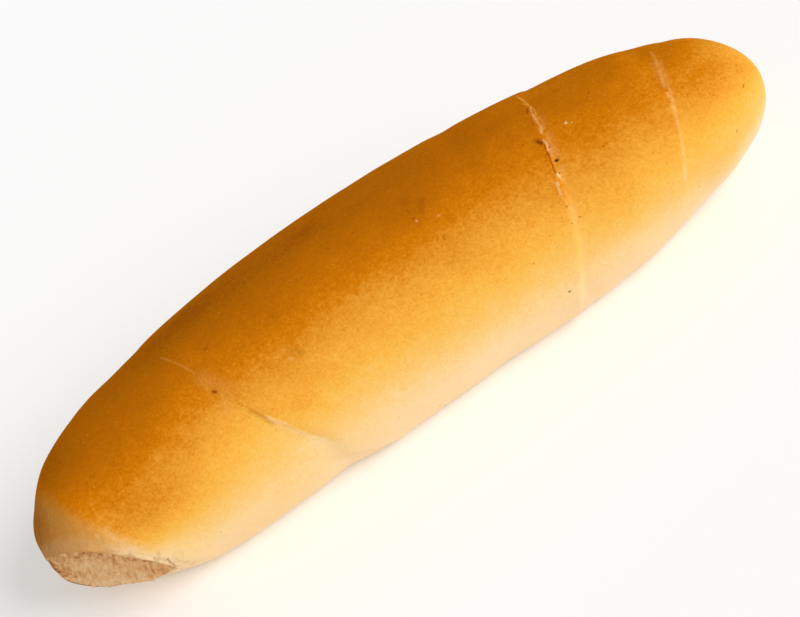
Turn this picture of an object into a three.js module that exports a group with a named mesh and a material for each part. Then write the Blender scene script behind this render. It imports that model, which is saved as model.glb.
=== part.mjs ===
// A long white bread roll, wound up from one sheet of dough as a croissant is, and baked on a flat tray.
// Millimetres. +X runs along the roll, -Y is its pale front, +Z is up, and the origin is on the tray under the
// middle of the roll. Angles round the roll are in degrees: 0 at the front, 90 on top, 180 at the back.
import * as THREE from "three";

const { clamp, degToRad, euclideanModulo, lerp, smoothstep } = THREE.MathUtils;

// The whole roll, before its layers swell.
const LENGTH = 170;
const WIDTH = 44;
const HEIGHT = 39.5;
const AXIS_HEIGHT = 18.6; // of the line that the layers are wound round
const SAG = 24.5; // how far the dough would hang below that line if the tray didn't flatten it
const BASE_EDGE = 1.5; // softness of the edge where the flat base turns up
const NEAR_FULLNESS = 3.9; // bluntness of the ends at -X and +X, where 2 is an ellipse
const FAR_FULLNESS = 4;
const THINNING = 0.05; // share of its thickness that the roll loses from its middle to its +X end
const BEND = 6.4; // how far the middle lies behind the line through the two tips
const BEND_SKEW = -2.1; // how much more of that bend is on the -X half
const MIDDLE_SHIFT = 6.6; // brings the middle of the bent roll over the origin

// The edges of the wound sheet. Each one starts low on the front, `start` along the half length, and leans out
// by `lean` more on its way over the roll. Its layer stands proud of the next one out by `lip`, which is given
// low on the front and low on the back, and `soft` is half the width of the step down.
const SEAMS = [
  { start: -0.56, lean: -0.345, lip: [0.4, 0.2], soft: 1.6 },
  { start: -0.135, lean: -0.37, lip: [2.1, 0.3], soft: 1.8 },
  { start: 0.298, lean: 0.17, lip: [1.6, 0.2], soft: 0.5 },
  { start: 0.525, lean: 0.245, lip: [0.3, 0.1], soft: 1 },
];
const SWELLS = [[-1.7, 1.2], [-0.6, 0.6], [0.6, 1.8], [-0.2, 0.1], [-1, 1]]; // of each layer, front and back
const LOW_FRONT = -45; // where an edge comes out from under the roll
const ARCH = 270; // how far round it can be followed, over the top and down the back
const LEAN_EASE = 2.3; // an edge leans most at the front, and hardly any more at the back
const LIP_REACH = 6; // how far the step takes to level out
const LIP_FADE = 8; // degrees over which the step is pressed flat at the base
const TIP_FADE = 1.6; // its inverse is the share of the full thickness under which all relief runs out

// Soft lumps and hollows: place along the roll, angle, height, reach along and reach round in degrees.
const LUMPS = [
  { x: 34, angle: -40, height: 0.5, along: 5, round: 25 },
  { x: -16, angle: -45, height: 0.5, along: 5, round: 25 },
  { x: 60, angle: -38, height: -1.7, along: 9, round: 30 },
  { x: -76, angle: 65, height: 2.1, along: 6, round: 60 },
];

// The place low on the -X end where the roll was pulled off its neighbour, and its crumb is torn open.
const TEAR_POINT = new THREE.Vector3(-71.7, -18.2, 18.4);
const TEAR_NORMAL = new THREE.Vector3(-0.53, -0.8, -0.27).normalize();
const TEAR_BULGE = 0.15; // share of the roundness that the torn crumb still has
const TEAR_ROUGHNESS = 0.35; // height of the ragged crumb
const TEAR_LIP = 1; // how deep the tear is where the crumb is ragged to its full height
const TEAR_RAGGED = [1.25, 1.6, 1.45]; // waves of the torn crumb along X, Y and Z, in radians per millimetre

const SIDES = 52; // facets round the roll
const RING_STEP = 0.023; // longest step between rings, along the half length
const SEAM_STEP = 0.006; // and from an edge to the ring on either side of it
const TIP_CROWDING = 6; // higher keeps the even spacing closer up to the tips

// Spreads even stations from -1 to 1 along the roll, closer together towards the blunt ends.
function spread(station) {
  return station * (1 + (1 - station ** TIP_CROWDING) / TIP_CROWDING);
}

// How far over the roll an angle is: 0 low on the front, 1 low on the back, and back to 0 along the base.
function wayOver(angle) {
  const turned = euclideanModulo(angle - LOW_FRONT, 360);
  if (turned > ARCH) return 1 - smoothstep(turned, ARCH, 360);
  return 1 - (1 - turned / ARCH) ** LEAN_EASE;
}

// Finds the layer that a station is in: its number, and how far the station is from its -X edge to its +X edge.
function layerAt(station) {
  const edges = [-1, ...SEAMS.map((seam) => seam.start), 1];
  const layer = Math.max(0, edges.findIndex((edge) => edge >= station) - 1);
  return { layer, across: (station - edges[layer]) / (edges[layer + 1] - edges[layer]) };
}

// Rings between two edges share out the lean of those edges, so that every ring follows the layers.
function leanAt(station) {
  const leans = [0, ...SEAMS.map((seam) => seam.lean), 0];
  const { layer, across } = layerAt(station);
  return lerp(leans[layer], leans[layer + 1], across);
}

function swellAt(station, over) {
  const { layer, across } = layerAt(station);
  return lerp(...SWELLS[layer], over) * Math.sin(Math.PI * across);
}

// The step down at every edge: up on the layer's own side, down on the side of the next layer out.
function lipAt(x, angle, over) {
  const turned = euclideanModulo(angle - LOW_FRONT, 360);
  const shown = clamp(Math.min(turned, ARCH - turned) / LIP_FADE + 0.5, 0, 1);
  let relief = 0;
  for (const { start, lean, lip, soft } of SEAMS) {
    const edge = (LENGTH / 2) * spread(start + lean * over);
    const outward = (x - edge) * Math.sign(start);
    const halfStep = lerp(...lip, over) / 2;
    relief -= halfStep * Math.tanh(outward / soft) * Math.exp(-Math.abs(outward) / LIP_REACH);
  }
  return relief * shown;
}

function lumpsAt(x, angle) {
  let relief = 0;
  for (const lump of LUMPS) {
    const turned = euclideanModulo(angle - lump.angle + 180, 360) - 180;
    relief += lump.height * Math.exp(-(((x - lump.x) / lump.along) ** 2) - (turned / lump.round) ** 2);
  }
  return relief;
}

// Lays a point that the tray would cut off down on it, with a soft edge round the flat.
function pressOnTray(height) {
  if (height > BASE_EDGE) return height;
  return height < -BASE_EDGE ? 0 : (height + BASE_EDGE) ** 2 / (4 * BASE_EDGE);
}

// Takes off the bulge that was torn away, and leaves ragged crumb.
function tear(point) {
  const depth = point.clone().sub(TEAR_POINT).dot(TEAR_NORMAL);
  if (depth <= 0) return;
  const [alongX, alongY, alongZ] = TEAR_RAGGED;
  const ragged = Math.sin(alongX * point.x) * Math.sin(alongY * point.y + alongZ * point.z);
  const crumb = TEAR_ROUGHNESS * ragged * Math.min(depth / TEAR_LIP, 1);
  point.addScaledVector(TEAR_NORMAL, crumb - (1 - TEAR_BULGE) * depth);
}

// The point of the crust at a station along the roll and an angle round it.
function crustPoint(station, angle) {
  const over = wayOver(angle);
  const along = spread(station + leanAt(station) * over);
  const fullness = along < 0 ? NEAR_FULLNESS : FAR_FULLNESS;
  const rounding = Math.sqrt(Math.max(0, 1 - Math.abs(along) ** fullness));
  const thickness = rounding * (1 - THINNING * along);
  const x = (LENGTH / 2) * along;
  const atTips = Math.min(TIP_FADE * rounding, 1);
  const relief = (swellAt(station, over) + lipAt(x, angle, over) + lumpsAt(x, angle)) * atTips;
  const [across, upward] = [-Math.cos(degToRad(angle)), Math.sin(degToRad(angle))];
  const bend = (BEND + BEND_SKEW * along) * (1 - along ** 2) - MIDDLE_SHIFT;
  const y = bend + ((WIDTH / 2) * thickness + relief) * across;
  const z = AXIS_HEIGHT + ((upward > 0 ? HEIGHT - AXIS_HEIGHT : SAG) * thickness + relief) * upward;
  const point = new THREE.Vector3(x, y, z);
  tear(point);
  point.z = pressOnTray(point.z);
  return point;
}

// Stations of the rings between the two tips, evenly spaced in each layer, with one close to each of its edges.
function ringStations() {
  const edges = [-1, ...SEAMS.map((seam) => seam.start), 1];
  const stations = [];
  for (let layer = 0; layer < edges.length - 1; layer++) {
    const first = edges[layer] + (layer > 0 ? SEAM_STEP : RING_STEP);
    const last = edges[layer + 1] - (layer < edges.length - 2 ? SEAM_STEP : RING_STEP);
    const steps = Math.ceil((last - first) / RING_STEP);
    for (let step = 0; step <= steps; step++) stations.push(lerp(first, last, step / steps));
  }
  return stations;
}

// One closed skin: a point at each tip, and rings of crust points between them.
function rollGeometry() {
  const stations = ringStations();
  const points = [crustPoint(-1, 0)];
  for (const station of stations) {
    for (let side = 0; side < SIDES; side++) points.push(crustPoint(station, (360 * side) / SIDES));
  }
  points.push(crustPoint(1, 0));

  const farTip = points.length - 1;
  const corner = (ring, side) => 1 + ring * SIDES + (side % SIDES);
  const faces = [];
  for (let side = 0; side < SIDES; side++) {
    faces.push(0, corner(0, side), corner(0, side + 1));
    for (let ring = 0; ring < stations.length - 1; ring++) {
      const [a, b] = [corner(ring, side), corner(ring, side + 1)];
      const [c, d] = [corner(ring + 1, side), corner(ring + 1, side + 1)];
      faces.push(a, c, d, a, d, b);
    }
    faces.push(farTip, corner(stations.length - 1, side + 1), corner(stations.length - 1, side));
  }
  const geometry = new THREE.BufferGeometry().setFromPoints(points);
  geometry.setIndex(faces);
  geometry.computeVertexNormals();
  return geometry;
}

const crust = new THREE.MeshStandardMaterial({ color: 0xd9903a, roughness: 0.6, metalness: 0 });

const roll = new THREE.Mesh(rollGeometry(), crust);
roll.name = "roll";

const part = new THREE.Group();
part.add(roll);

export default part;
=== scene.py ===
# %% [markdown]
# # A long white roll, wound up from one sheet of dough
# A baker rolls a flat tongue of dough up from its narrow end, as for a croissant, and leaves it straight.
# The edge of the sheet stays visible as a spiral: every turn ends in a slanting seam, and the middle of the
# roll stands proud of the turns further out. This lesson loads the plain solid of the roll and dresses it:
# a fine crust, the crumb that shows where the roll was pulled off its neighbour, and the ragged flakes
# along that tear.

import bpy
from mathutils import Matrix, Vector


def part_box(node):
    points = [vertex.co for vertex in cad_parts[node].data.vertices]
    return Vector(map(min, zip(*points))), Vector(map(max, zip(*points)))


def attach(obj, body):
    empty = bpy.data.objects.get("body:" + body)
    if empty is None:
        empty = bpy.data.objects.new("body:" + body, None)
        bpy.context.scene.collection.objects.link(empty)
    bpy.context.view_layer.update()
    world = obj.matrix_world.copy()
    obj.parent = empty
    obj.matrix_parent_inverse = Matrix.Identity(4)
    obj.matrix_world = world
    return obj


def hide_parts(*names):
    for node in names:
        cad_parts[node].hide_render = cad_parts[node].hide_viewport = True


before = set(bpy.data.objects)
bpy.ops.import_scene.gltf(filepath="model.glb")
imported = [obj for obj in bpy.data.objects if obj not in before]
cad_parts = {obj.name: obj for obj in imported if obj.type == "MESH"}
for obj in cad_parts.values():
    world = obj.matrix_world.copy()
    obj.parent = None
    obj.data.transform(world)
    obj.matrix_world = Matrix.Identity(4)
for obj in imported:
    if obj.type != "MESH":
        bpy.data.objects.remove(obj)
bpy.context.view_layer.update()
near_corner, far_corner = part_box("roll")
print("solid roll, in metres:", [round(far - near, 4) for near, far in zip(near_corner, far_corner)])

# %% [markdown]
# ## Sizes of the dough
# All shapes here follow one rule, so the rule's sizes come first. They are in millimetres and degrees. A
# place on the roll is given by its station, from -1 to 1 along the winding, and its angle round the roll: 0
# at the pale front, 90 on top, 180 at the back and 270 underneath. With such dough coordinates a seam is
# simply a line of one station, and everything near it can follow it round the roll.

# %% Sizes of the whole roll
import math

MM = 0.001
DEGREE = math.radians(1)
DOUGH_SIZES = {
    "Length": (far_corner.x - near_corner.x) / MM,
    "Width": 44.0,
    "Height": 39.5,
    "Axis height": 18.6,  # of the line that the layers are wound round
    "Sag": 24.5,  # how far the dough would hang below that line if the tray didn't flatten it
    "Bend": 6.4,  # how far the middle lies behind the line through the two tips
    "Bend skew": -2.1,  # how much more of that bend is on the left half
    "Middle shift": 6.6,  # brings the middle of the bent roll over the origin
}
BASE_EDGE = 1.5  # softness of the edge where the flat base turns up
NEAR_FULLNESS = 3.9  # bluntness of the left and the right end, where 2 is an ellipse
FAR_FULLNESS = 4.0
THINNING = 0.05  # share of its thickness that the roll loses from its middle to its right end
TIP_CROWDING = 6  # higher keeps the even spacing of stations closer up to the tips
TIP_FADE = 1.6  # its inverse is the share of the full thickness under which all relief runs out
MM_PER_DEGREE = DEGREE * DOUGH_SIZES["Width"] / 2
print("dough sizes:", {name: round(size, 2) for name, size in DOUGH_SIZES.items()})

# %% Sizes of the wound layers
# Where each edge of the sheet starts low on the front, how far it leans out on its way over the roll, how
# far its layer stands proud of the next one low on the front and low on the back, and half the width of
# that step. The edge wanders a little, and at some angles it bows out or in: the angle, how far it reaches,
# and by how much.
SEAMS = [
    dict(start=-0.56, lean=-0.345, lip=(0.4, 0.2), soft=1.6, wander=0.4, bows=[]),
    dict(start=-0.135, lean=-0.37, lip=(1.6, 0.2), soft=2.6, wander=0.25, bows=[(-26, 14, 4.5)]),
    dict(start=0.298, lean=0.17, lip=(1.6, 0.2), soft=0.5, wander=0.25, bows=[(-14, 22, -1.4)]),
    dict(start=0.525, lean=0.245, lip=(0.3, 0.1), soft=1.0, wander=0.3, bows=[(30, 60, -0.5)]),
]
OUTER_LEFT, INNER_LEFT, INNER_RIGHT, OUTER_RIGHT = range(4)
SWELLS = [(-1.7, 1.2), (-0.6, 0.6), (0.6, 1.8), (-0.2, 0.1), (-1.0, 1.0)]  # of each layer, front and back
EDGES = [-1.0] + [seam["start"] for seam in SEAMS] + [1.0]
LEANS = [0.0] + [seam["lean"] for seam in SEAMS] + [0.0]
LOW_FRONT = -45  # where an edge comes out from under the roll
ARCH = 270  # how far round it can be followed, over the top and down the back
LEAN_EASE = 2.3  # an edge leans most at the front, and hardly any more at the back
LIP_REACH = 6  # how far the step takes to level out
LIP_FADE = 8  # degrees over which the step is pressed flat at the base
print(len(SEAMS), "seams part", len(SWELLS), "layers")

# %% [markdown]
# ## Formulas as nodes
# A rule with this many terms would be a maze if every Math node were placed by hand. Python can write it as
# a formula instead: a small class wraps the output of a node, and each sum on it adds the Math node that
# works the sum out. The same class serves the geometry and the materials, because both use the same Math
# node.

# %% A wire that can be calculated with
import bpy


class Wire:
    """One output of a node. Calculating with it adds Math nodes to its tree."""

    def __init__(self, recipe, socket):
        self.recipe = recipe
        self.socket = socket

    def sibling(self, name):
        return Wire(self.recipe, self.socket.node.outputs[name])

    def __add__(self, number):
        return calc("ADD", self, number)

    def __radd__(self, number):
        return calc("ADD", number, self)

    def __sub__(self, number):
        return calc("SUBTRACT", self, number)

    def __rsub__(self, number):
        return calc("SUBTRACT", number, self)

    def __mul__(self, number):
        return calc("MULTIPLY", self, number)

    def __rmul__(self, number):
        return calc("MULTIPLY", number, self)

    def __truediv__(self, number):
        return calc("DIVIDE", self, number)

    def __rtruediv__(self, number):
        return calc("DIVIDE", number, self)

    def __pow__(self, number):
        return calc("POWER", self, number)

    def __mod__(self, number):
        return calc("FLOORED_MODULO", self, number)

    def __neg__(self):
        return calc("MULTIPLY", self, -1)

    def __abs__(self):
        return calc("ABSOLUTE", self)

    def __lt__(self, number):
        return calc("LESS_THAN", self, number)

    def __gt__(self, number):
        return calc("GREATER_THAN", self, number)


def calc(operation, *values):
    recipe = next(value.recipe for value in values if isinstance(value, Wire))
    return recipe.node("ShaderNodeMath", {"operation": operation}, dict(enumerate(values)))


# %% A recipe that adds any other node
class Recipe:
    """Adds nodes to one tree: their type, their settings first, and then what goes into their sockets."""

    def __init__(self, tree):
        self.tree = tree

    def node(self, kind, settings=(), sockets=(), output=0):
        node = self.tree.nodes.new(kind)
        for name, value in dict(settings).items():
            if name == "stops":
                self.set_stops(node.color_ramp, value)
            else:
                setattr(node, name, value)
        for name, value in dict(sockets).items():
            if isinstance(value, Wire):
                self.tree.links.new(value.socket, node.inputs[name])
            else:
                node.inputs[name].default_value = value
        return Wire(self, node.outputs[output]) if node.outputs else None

    def set_stops(self, ramp, stops):
        while len(ramp.elements) < len(stops):
            ramp.elements.new(1)
        for element, (place, colour) in zip(ramp.elements, stops):
            element.position = place
            element.color = colour


# %% Helpers that formulas need often
def hold(value, low=0, high=1):
    return value.recipe.node("ShaderNodeClamp", {}, {"Value": value, "Min": low, "Max": high})


def ease(value, start, end):
    """0 at the start, 1 at the end, and soft at both."""
    sockets = {"Value": value, "From Min": start, "From Max": end}
    return value.recipe.node("ShaderNodeMapRange", {"interpolation_type": "SMOOTHSTEP"}, sockets)


def between(value, start, end, softness):
    """1 from the start to the end and 0 outside them. Half of either slope lies inside."""
    return ease(value, start - softness, start + softness) * ease(value, end + softness, end - softness)


def bell(*distances):
    """1 where all distances are 0, and fading out as they pass 1."""
    return calc("EXPONENT", -sum(distance * distance for distance in distances))


def from_to(pair, share):
    return pair[0] + (pair[1] - pair[0]) * share


# %% Helpers for places and noise
SEED_STEPS = (37.1, 61.7, 17.3)  # how far each seed moves the noise along its three axes
NOISE_SPREAD = 3  # noise seldom leaves the middle third of its range


def vector(recipe, x, y, z):
    return recipe.node("ShaderNodeCombineXYZ", {}, {"X": x, "Y": y, "Z": z})


def vector_calc(recipe, operation, *values, output="Vector"):
    return recipe.node("ShaderNodeVectorMath", {"operation": operation}, dict(enumerate(values)), output)


def uneven(place, wavelength, seed=0, detail=2.0):
    """Soft noise from about -1 to 1 at places in millimetres. The seed picks another stretch of it."""
    recipe = place.recipe
    moved = vector_calc(recipe, "ADD", place, tuple(seed * step for step in SEED_STEPS))
    sockets = {"Vector": moved, "Scale": 1 / wavelength, "Detail": detail}
    return (recipe.node("ShaderNodeTexNoise", {}, sockets) - 0.5) * NOISE_SPREAD


def dots(place, spacing, reach, chance):
    """Small soft dots at uneven places. A share of the places has none, and the others differ in strength."""
    recipe = place.recipe
    cells = recipe.node("ShaderNodeTexVoronoi", {}, {"Vector": place, "Scale": 1 / spacing})
    luck = recipe.node("ShaderNodeSeparateColor", {}, {"Color": cells.sibling("Color")})
    return ease(cells * spacing, reach, 0) * ease(luck, 1 - chance, 1)


def away_from_way(spot, start, end):
    """How far a flat spot is from the straight way between two places."""
    recipe = spot.recipe
    off = vector_calc(recipe, "SUBTRACT", spot, (*start, 0))
    way = [there - here for here, there in zip(start, end)] + [0]
    length = math.hypot(*way)
    if length > 0:
        unit = [part / length ** 2 for part in way]
        share = hold(vector_calc(recipe, "DOT_PRODUCT", off, unit, output="Value"))
        passed = recipe.node("ShaderNodeVectorMath", {"operation": "SCALE"}, {0: way, "Scale": share})
        off = vector_calc(recipe, "SUBTRACT", off, passed)
    return vector_calc(recipe, "LENGTH", off, output="Value")


# %% [markdown]
# ## Growing a mesh from a tree
# Geometry Nodes run as a modifier on an object. Here an empty mesh is the host, the tree makes the whole
# shape, and the evaluated result is copied to a plain mesh, after which the modifier goes. The sizes of a
# tree are its named inputs, so anyone can open it and try another length or bend.

# %% A recipe for geometry
class ShapeRecipe(Recipe):
    """A tree that makes a mesh out of nothing but its named sizes."""

    def __init__(self, name):
        super().__init__(bpy.data.node_groups.new(name, "GeometryNodeTree"))
        self.tree.interface.new_socket("Geometry", in_out="OUTPUT", socket_type="NodeSocketGeometry")
        self.given = self.tree.nodes.new("NodeGroupInput")
        self.sizes = {}

    def size(self, name, value):
        kind = "NodeSocketInt" if isinstance(value, int) else "NodeSocketFloat"
        socket = self.tree.interface.new_socket(name, in_out="INPUT", socket_type=kind)
        self.sizes[socket.identifier] = value
        return Wire(self, self.given.outputs[name])

    def store(self, geometry, name, value):
        sockets = {"Geometry": geometry, "Name": name, "Value": value}
        return self.node("GeometryNodeStoreNamedAttribute", {"data_type": "FLOAT"}, sockets)

    def stored(self, name):
        return self.node("GeometryNodeInputNamedAttribute", {"data_type": "FLOAT"}, {"Name": name})

    def grow(self, geometry, finish):
        geometry = self.node("GeometryNodeRealizeInstances", {}, {"Geometry": geometry})
        geometry = self.node("GeometryNodeSetShadeSmooth", {}, {"Geometry": geometry})
        geometry = self.node("GeometryNodeSetMaterial", {}, {"Geometry": geometry, "Material": finish})
        self.node("NodeGroupOutput", {}, {"Geometry": geometry})
        piece = bpy.data.objects.new(self.tree.name, bpy.data.meshes.new(self.tree.name))
        bpy.context.scene.collection.objects.link(piece)
        modifier = piece.modifiers.new("Shape", "NODES")
        modifier.node_group = self.tree
        for identifier, value in self.sizes.items():
            modifier[identifier] = value
        graph = bpy.context.evaluated_depsgraph_get()
        piece_now = piece.evaluated_get(graph)
        mesh = bpy.data.meshes.new_from_object(piece_now, preserve_all_data_layers=True, depsgraph=graph)
        piece.modifiers.clear()
        piece.data = mesh
        mesh.calc_loop_triangles()
        print(f"{piece.name}: {len(mesh.vertices)} points, {len(mesh.loop_triangles)} triangles")
        return piece


# %% [markdown]
# ## The rule of the wound dough
# The roll is a blunt spindle whose rings lean with the seams. Each layer swells a little between its edges,
# and steps down at its outer edge. The bottom is pressed flat by the tray. The solid that this piece
# replaces was made by the same rule, so both have the same form, and only the fine relief is new.

# %% Winding
from types import SimpleNamespace


def spread(station):
    """Moves even stations closer together towards the blunt ends."""
    return station * (1 + (1 - station ** TIP_CROWDING) / TIP_CROWDING)


def wind(sizes, station, angle):
    """Everything that the winding says about a place on the roll."""
    at = SimpleNamespace(sizes=sizes, angle=angle)
    turned = (angle - LOW_FRONT) % 360
    at.over = 1 - calc("MAXIMUM", 1 - turned / ARCH, 0) ** LEAN_EASE - ease(turned, ARCH, 360)
    at.shown = hold(calc("MINIMUM", turned, ARCH - turned) / LIP_FADE + 0.5)
    at.shares = [hold((station - near) / (far - near)) for near, far in zip(EDGES, EDGES[1:])]
    lean = sum((far - near) * share for near, far, share in zip(LEANS, LEANS[1:], at.shares))
    at.along = spread(station + lean * at.over)
    at.x = at.along * sizes["Length"] / 2
    fullness = FAR_FULLNESS + (NEAR_FULLNESS - FAR_FULLNESS) * (at.along < 0)
    at.rounding = calc("SQRT", calc("MAXIMUM", 1 - abs(at.along) ** fullness, 0))
    at.thickness = at.rounding * (1 - THINNING * at.along)
    at.frontward = calc("COSINE", angle * DEGREE)
    at.upward = calc("SINE", angle * DEGREE)
    bend = (sizes["Bend"] + sizes["Bend skew"] * at.along) * (1 - at.along * at.along)
    at.middle = bend - sizes["Middle shift"]
    return at


def stand_out(at, relief):
    """The point that stands out from the plain spindle by the relief, which runs out at the tips."""
    sizes = at.sizes
    relief = relief * hold(at.rounding * TIP_FADE)
    y = at.middle - at.frontward * (at.thickness * sizes["Width"] / 2 + relief)
    reach = sizes["Sag"] + (sizes["Height"] - sizes["Axis height"] - sizes["Sag"]) * (at.upward > 0)
    z = sizes["Axis height"] + at.upward * (at.thickness * reach + relief)
    return y, z


def above(value, softness):
    """The value where it is above 0, and 0 below, with a soft turn between."""
    held = hold(value, -softness, softness) + softness
    return held * held / (4 * softness) + calc("MAXIMUM", value - softness, 0)


def press_on_tray(z):
    """Lays what the tray would cut off down on it, with a soft edge round the flat."""
    return above(z, BASE_EDGE)


# %% Layers, seams and lumps
LUMPS = [  # along the roll, angle, height, reach along and reach round in degrees
    (34, -40, 0.5, 5, 25),
    (-16, -45, 0.5, 5, 25),
    (60, -38, -1.7, 9, 30),
    (-76, 65, 2.1, 6, 60),
    (-54, 110, -0.45, 5.5, 40),
    (27, 110, -0.35, 3, 40),
    (67, 105, -0.35, 3, 40),
    (-66, -38, -0.3, 3, 25),
    (-54, -38, -0.35, 4, 25),
    (50, 108, -0.25, 6, 40),
    (83, 90, -0.8, 4, 50),
    (-26, -38, -0.45, 3.5, 25),
    (-6, -38, 0.25, 5, 25),
    (12, -38, -0.4, 6, 25),
    (33, -40, -0.3, 1.5, 20),
    (52, -38, -0.35, 3, 25),
    (63, -38, -0.3, 2.5, 25),
    (74, -38, -0.3, 3, 25),
]


def past_seam(at, seam):
    """How far a place lies outward of a seam, in millimetres along the roll."""
    edge = spread(seam["start"] + seam["lean"] * at.over) * at.sizes["Length"] / 2
    outward = (at.x - edge) * math.copysign(1, seam["start"])
    for angle, reach, bow in seam["bows"]:
        outward = outward - bow * bell((at.angle - angle) / reach)
    return outward


def swell(at):
    waves = [calc("SINE", share * math.pi) for share in at.shares]
    return sum(from_to(height, at.over) * wave for height, wave in zip(SWELLS, waves))


def step_down(at, seam, past):
    """The layer's own side is half a step up, and the next one's half a step down. Both level out."""
    half_step = from_to(seam["lip"], at.over) / 2
    levelled = calc("EXPONENT", -abs(past) / LIP_REACH)
    return -half_step * calc("TANH", past / seam["soft"]) * levelled * at.shown


def away(at, x, angle, reach, reach_round):
    """Distances from a spot along and round the roll, as shares of its reaches."""
    round_it = (at.angle - angle + 180) % 360 - 180
    return (at.x - x) / reach, round_it / reach_round


def lumps(at):
    return sum(height * bell(*away(at, x, angle, *reach)) for x, angle, height, *reach in LUMPS)


print(len(LUMPS), "soft lumps and hollows")


# %% Tear
class Plane:
    """A plane through a point, and the way that it faces."""

    def __init__(self, point, facing):
        self.point = point
        self.facing = [part / math.hypot(*facing) for part in facing]

    def past(self, x, y, z):
        """How far a place lies in front of the plane."""
        return sum((part - start) * way for part, start, way in zip((x, y, z), self.point, self.facing))

    def push(self, x, y, z, distance):
        """The place, moved straight out of the plane."""
        return [part + way * distance for part, way in zip((x, y, z), self.facing)]


TORN_FACE = Plane((-71.7, -18.2, 18.4), (-0.53, -0.8, -0.27))
TORN_RIM = Plane((-72.3, -18.5, 20.6), (-0.61, -0.72, -0.32))  # beyond it the crust is gone
TEAR_BULGE = 0.15  # share of the roundness that the torn crumb still has
TEAR_TURN = 0.4  # softness of the turn into the torn face
BLUNT_FROM = -84.1  # place along the roll from which the left tip is pressed flat
BLUNT_SHARE = 0.8
BLUNT_TURN = 0.6
ACROSS_FACE = (0.82, -0.38, -0.43)  # ways across and down the torn face
DOWN_FACE = (0.22, -0.44, 0.87)
DEPTH_SHARE = 0.5  # threads change half as fast on their way into the roll
RIM_BOWS = [(-25, 15, 0.8), (20, 20, -0.4)]  # angle, reach, and how far the rim bows outwards there
UNDER_ROLL = (-64, -74)  # angles over which the crust closes again under the roll
CLOSED = 6  # this far outside the rim the crust is surely whole
print("the torn face looks", [round(way, 2) for way in TORN_FACE.facing])


def blunted(x):
    """The place along the roll, with the left tip pressed a little flat."""
    return x + BLUNT_SHARE * above(BLUNT_FROM - x, BLUNT_TURN)


def torn_off(x, y, z):
    """How much is missing at a place of the whole roll, measured out of the torn face."""
    return (1 - TEAR_BULGE) * above(TORN_FACE.past(x, y, z), TEAR_TURN)


def torn_face_place(recipe, x, y, z, length=1):
    """A place across and down the torn face, shortened along the way down, in which the threads run."""
    across = sum(part * way for part, way in zip((x, y, z), ACROSS_FACE))
    down = sum(part * way for part, way in zip((x, y, z), DOWN_FACE))
    return vector(recipe, across, down / length, 0)


def threads(recipe, x, y, z, length):
    """Places for noise that is drawn out along the threads."""
    out = TORN_FACE.past(x, y, z) * DEPTH_SHARE
    return vector_calc(recipe, "ADD", torn_face_place(recipe, x, y, z, length), vector(recipe, 0, 0, out))


def inside_rim(at, x, y, z):
    """How far a place lies inside the torn edge of the crust. The crust goes on under the roll."""
    shifts = sum(bow * bell((at.angle - angle) / reach) for angle, reach, bow in RIM_BOWS)
    return TORN_RIM.past(x, y, z) + shifts - CLOSED * ease(at.angle, *UNDER_ROLL)


# %% [markdown]
# ## Heat and marks
# Crust browns by the heat from above, so its colour follows how steeply it faces up: deep brown on top,
# golden on the shoulders and pale dough low on the flanks, where rolls sit side by side. Some places were
# hotter or cooler than that, and at a seam the layers on either side differ. All of it is counted in
# degrees, as if the crust faced up more or less. Blisters, cracks and lines are strokes between places that
# are given as millimetres along the roll and the angle round it. The geometry presses them in, and
# the finish colours them.
# A few of the spots on the left half are painted shade, in part or whole, where less light falls.

# %% Heat
HEAT_AND_SHADE_SPOTS = [  # along the roll, angle, reach along, reach round in degrees, degrees hotter
    # painted shade: darker on the front of the left half, where less light falls
    (-62, 32, 15, 45, 12),
    # partly browner crust and partly painted shade on the top of the left end, which turns away from the
    # light
    (-76, 104, 9, 20, 22),
    (-56, 90, 8, 10, -7),
    (-38, 20, 5, 12, -5),
    (-44, -36, 14, 9, 12),
    (40, 112, 16, 14, -6),
    (60, -34, 10, 9, 8),
    (-36, 108, 12, 12, 15),
    (-8, 106, 5, 8, 12),
    (-40, 75, 6, 15, -5),
    (-36, -22, 9, 12, 10),
    (-20, 58, 8, 20, 5),
    (14, 78, 6, 9, 13),
    (54, 92, 20, 24, -16),
    # painted shade along the far top edge of the left half, where the light falls off
    (-36, 116, 34, 11, 9),
    (70, 78, 8, 14, -6),
    (68, -8, 14, 20, 18),
    (46, 10, 7, 14, 6),
    (80, 45, 7, 30, 8),
    (-72, 42, 6, 20, 6),
    (-72, 72, 6, 8, 4),
    (-57, 23, 12, 14, 8),
    (-65, -3, 7, 11, -15),
    (-32, 80, 5, 12, 4),
    (-24, 26, 6, 12, 6),
    (48, 20, 5, 12, 6),
    (64, -24, 14, 10, 8),
    (12, -22, 12, 8, -8),
]
SEAM_HEAT = [  # seam, from angle, to angle, degrees hotter on its own layer, reach, cooler beyond it, reach
    (OUTER_LEFT, 40, 68, 2, 5, 0, 1),
    (INNER_LEFT, -6, 44, 3, 5, 10, 8),
    (INNER_RIGHT, 30, 100, 6, 3, 2, 3),
    (OUTER_RIGHT, 18, 74, 5, 5, 5, 6),
]
SEAM_FADE = 8  # degrees over which anything that follows a seam fades at its ends
OWN_EDGE, FAR_EDGE = -0.2, 0.4  # past a seam, between which its two sides change over


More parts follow.
